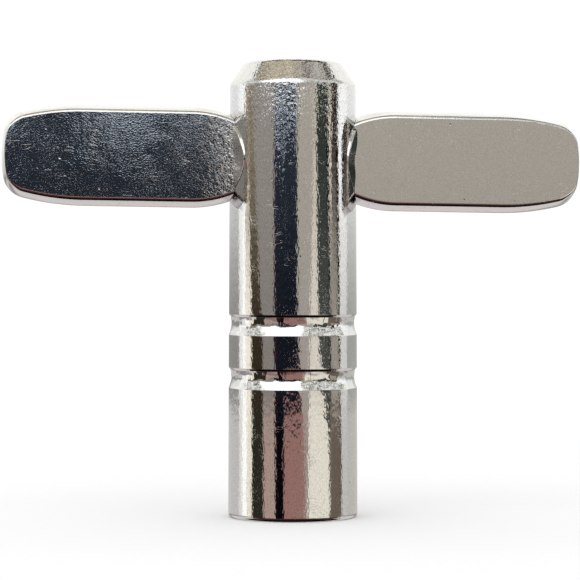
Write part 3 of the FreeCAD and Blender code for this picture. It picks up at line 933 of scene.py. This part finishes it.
def panelled(tree, sky, axes, azimuth, mottle):
    """A mottled ceiling panel with a dark rim along its far side. axes is the direction's X, Y and Z."""
    along = calc(tree, "DIVIDE", axes["Y"], axes["Z"])
    across = calc(tree, "ABSOLUTE", calc(tree, "DIVIDE", axes["X"], axes["Z"]))
    across = calc(tree, "ADD", across, calc(tree, "MAXIMUM", along, 0.0))
    from_front = ramp_between(tree, along, *PANEL_FRONT)
    rim = product(
        tree,
        from_front,
        ramp_between(tree, along, *RIM_BACK, 1.0, 0.0),
        ramp_between(tree, across, *RIM_SIDE, 1.0, 0.0),
    )
    sky = mix_colours(tree, rim, sky, linear(*RIM_COLOUR))
    past_back = calc(tree, "SUBTRACT", along, ramp_between(tree, azimuth, *PANEL_BACK_TURN, *PANEL_BACK))
    panel = product(
        tree,
        from_front,
        ramp_between(tree, past_back, -PANEL_SOFTNESS, PANEL_SOFTNESS, 1.0, 0.0),
        ramp_between(tree, across, *PANEL_SIDE, 1.0, 0.0),
    )
    blotched = ramp_between(tree, mottle, *PANEL_MOTTLE)
    left_tone = two_tones(tree, blotched, PANEL_LEFT)
    right_tone = two_tones(tree, blotched, PANEL_RIGHT)
    panel_tone = mix_colours(tree, ramp_between(tree, axes["X"], *PANEL_CHANGE), left_tone, right_tone)
    return mix_colours(tree, panel, sky, panel_tone)


def ground_tone(tree, tone, azimuth, elevation):
    """Underneath: the cards run on into the dark in front. It's pale behind, and black straight below."""
    front = ramp_between(tree, calc(tree, "ABSOLUTE", azimuth), *GROUND_SIDE, 1.0, 0.0)
    behind = two_tones(tree, ramp_between(tree, elevation, *BEHIND_RISE), BEHIND_COLOURS)
    ahead = mix_colours(tree, ramp_between(tree, elevation, *AHEAD_RISE), linear(*AHEAD_COLOUR), tone)
    ground = mix_colours(tree, front, behind, ahead)
    black_below = ramp_between(tree, front, 0.0, 1.0, *BLACK_ELEVATIONS)
    deep = calc(tree, "SUBTRACT", elevation, black_below)
    black = ramp_between(tree, deep, -BLACK_SOFTNESS, BLACK_SOFTNESS, 1.0, 0.0)
    return mix_colours(tree, black, ground, linear(*BLACK_COLOUR))


def tent_material():
    material, tree, output = new_material("tent")
    geometry = tree.nodes.new("ShaderNodeNewGeometry")
    offset = vector_calc(tree, "SUBTRACT", geometry.outputs["Position"], (0, 0, TENT_CENTRE * MM))
    direction = vector_calc(tree, "NORMALIZE", offset)
    axes = components(tree, direction)
    forward = calc(tree, "MULTIPLY", axes["Y"], -1.0)
    azimuth = calc(tree, "DEGREES", calc(tree, "ARCTAN2", axes["X"], forward))
    elevation = calc(tree, "DEGREES", calc(tree, "ARCSINE", axes["Z"]))

    tone = card_tone(tree, azimuth, elevation)
    tone = flecked(tree, tone, direction, azimuth, elevation)
    mottle = noise_at(tree, direction, MOTTLE_GRAIN, 4.0, 0.75)
    sky = panelled(tree, open_sky(tree, azimuth, mottle), axes, azimuth, mottle)
    tone = mix_colours(tree, ramp_between(tree, elevation, *OVERHEAD_START), tone, sky)
    ground = ground_tone(tree, tone, azimuth, elevation)
    tone = mix_colours(tree, ramp_between(tree, elevation, *GROUND_START, 1.0, 0.0), tone, ground)

    glow = tree.nodes.new("ShaderNodeEmission")
    feed(tree, tone, glow.inputs["Color"])
    glow.inputs["Strength"].default_value = TENT_STRENGTH
    feed(tree, glow.outputs["Emission"], output.inputs["Surface"])
    material.cycles.emission_sampling = "NONE"
    return material


def make_tent():
    """A sphere around the object that only its mirror surfaces see."""
    builder = bmesh.new()
    bmesh.ops.create_uvsphere(
        builder, u_segments=2 * TENT_RINGS, v_segments=TENT_RINGS, radius=TENT_RADIUS
    )
    bmesh.ops.translate(builder, vec=(0, 0, TENT_CENTRE), verts=builder.verts)
    tent = new_piece("tent", builder)
    tent.data.materials.append(tent_material())
    tent.visible_camera = False
    tent.visible_diffuse = False
    tent.visible_transmission = False
    tent.visible_shadow = False


FLOOR_RADIUS = 200
FLOOR_SEGMENTS = 96
FLOOR_FADE = (60, 190)
PAPER_GRAIN = 1.5
PAPER_DARK = (0.90, 0.90, 0.90, 1)
PAPER_LIGHT = (0.94, 0.94, 0.94, 1)


def floor_material():
    """Pale matt paper that fades out with distance and shows only its upper side."""
    material, tree, output = new_material("floor")
    place = millimetres(tree)
    fade = ramp_between(tree, vector_calc(tree, "LENGTH", place), *FLOOR_FADE)
    geometry = tree.nodes.new("ShaderNodeNewGeometry")
    hidden = calc(tree, "MAXIMUM", fade, geometry.outputs["Backfacing"])
    paper = tree.nodes.new("ShaderNodeBsdfDiffuse")
    tooth = noise_at(tree, place, PAPER_GRAIN, 3.0)
    feed(tree, mix_colours(tree, tooth, PAPER_DARK, PAPER_LIGHT), paper.inputs["Color"])
    clear = tree.nodes.new("ShaderNodeBsdfTransparent")
    join = tree.nodes.new("ShaderNodeMixShader")
    feed(tree, hidden, join.inputs["Fac"])
    feed(tree, paper.outputs["BSDF"], join.inputs[1])
    feed(tree, clear.outputs["BSDF"], join.inputs[2])
    feed(tree, join.outputs["Shader"], output.inputs["Surface"])
    return material


def make_floor():
    builder = bmesh.new()
    bmesh.ops.create_circle(builder, cap_ends=True, segments=FLOOR_SEGMENTS, radius=FLOOR_RADIUS)
    floor = new_piece("floor", builder)
    floor.data.materials.append(floor_material())
    floor.visible_glossy = False


WORLD_STRENGTH = 1.05


def make_world():
    world = bpy.data.worlds.new("studio")
    world.use_nodes = True
    background = world.node_tree.nodes["Background"]
    background.inputs["Color"].default_value = (1, 1, 1, 1)
    background.inputs["Strength"].default_value = WORLD_STRENGTH
    bpy.context.scene.world = world


LAMP_DIAMETER = 250
LAMP_WATTS = 0.12
LAMP_PLACE = (-100, -150, 350)
LAMP_AIM = (0, 0, 10)


def make_lamp():
    """A wide soft box above and in front, for the floor's faint shadow."""
    light = bpy.data.lights.new("soft_box", "AREA")
    light.shape = "DISK"
    light.size = LAMP_DIAMETER * MM
    light.energy = LAMP_WATTS
    lamp = bpy.data.objects.new("soft_box", light)
    lamp.location = Vector(LAMP_PLACE) * MM
    lamp.rotation_euler = (Vector(LAMP_AIM) * MM - lamp.location).to_track_quat("-Z", "Y").to_euler()
    lamp.visible_glossy = False
    bpy.context.scene.collection.objects.link(lamp)


# The camera stands at an azimuth and a height, and looks along its aim and pitch.
CAMERA_AZIMUTH = -5.0
CAMERA_AIM = -4.93
CAMERA_PITCH = -0.3
CAMERA_DISTANCE = 199.0
CAMERA_HEIGHT = 20.5
CAMERA_LENS = 143.6
CAMERA_SENSOR = 36
CAMERA_NEAR = 10
CAMERA_FAR = 5000


def make_camera():
    azimuth, aim, pitch = (math.radians(angle) for angle in (CAMERA_AZIMUTH, CAMERA_AIM, CAMERA_PITCH))
    data = bpy.data.cameras.new("camera")
    data.lens = CAMERA_LENS
    data.sensor_width = CAMERA_SENSOR
    data.clip_start = CAMERA_NEAR * MM
    data.clip_end = CAMERA_FAR * MM
    camera = bpy.data.objects.new("camera", data)
    spot = Vector((math.sin(azimuth), -math.cos(azimuth), 0)) * CAMERA_DISTANCE
    camera.location = (spot + Vector((0, 0, CAMERA_HEIGHT))) * MM
    sight = Vector((-math.sin(aim) * math.cos(pitch), math.cos(aim) * math.cos(pitch), math.sin(pitch)))
    camera.rotation_euler = sight.to_track_quat("-Z", "Y").to_euler()
    bpy.context.scene.collection.objects.link(camera)
    bpy.context.scene.camera = camera


# ---------------------------------------------------------------- assembly

barrel_chrome = chrome_material("barrel_chrome", BARREL_GRAIN, BARREL_GRAIN_DEPTH, BARREL_ROUGH)
left_wing_chrome = chrome_material("left_wing_chrome", WING_GRAIN, WING_GRAIN_DEPTH, LEFT_WING_ROUGH)
right_wing_chrome = chrome_material("right_wing_chrome", WING_GRAIN, WING_GRAIN_DEPTH, RIGHT_WING_ROUGH)
steel = steel_material()

barrel = make_barrel()
left_wing = make_wing("left_wing_body", -1)
right_wing = make_wing("right_wing_body", 1)
for piece, node, chrome, dents in (
    (barrel, "barrel", barrel_chrome, 30),
    (left_wing, "left_wing", left_wing_chrome, 16),
    (right_wing, "right_wing", right_wing_chrome, 14),
):
    weather(piece, dents)
    crisp(piece)
    piece.data.materials.clear()
    piece.data.materials.append(chrome)
    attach(piece, "root")
    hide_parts(node)
for node in ("tie_pin", "socket_insert"):
    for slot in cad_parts[node].material_slots:
        slot.material = steel

make_tent()
make_floor()
make_world()
make_lamp()
make_camera()
bpy.context.scene.view_settings.view_transform = "Standard"
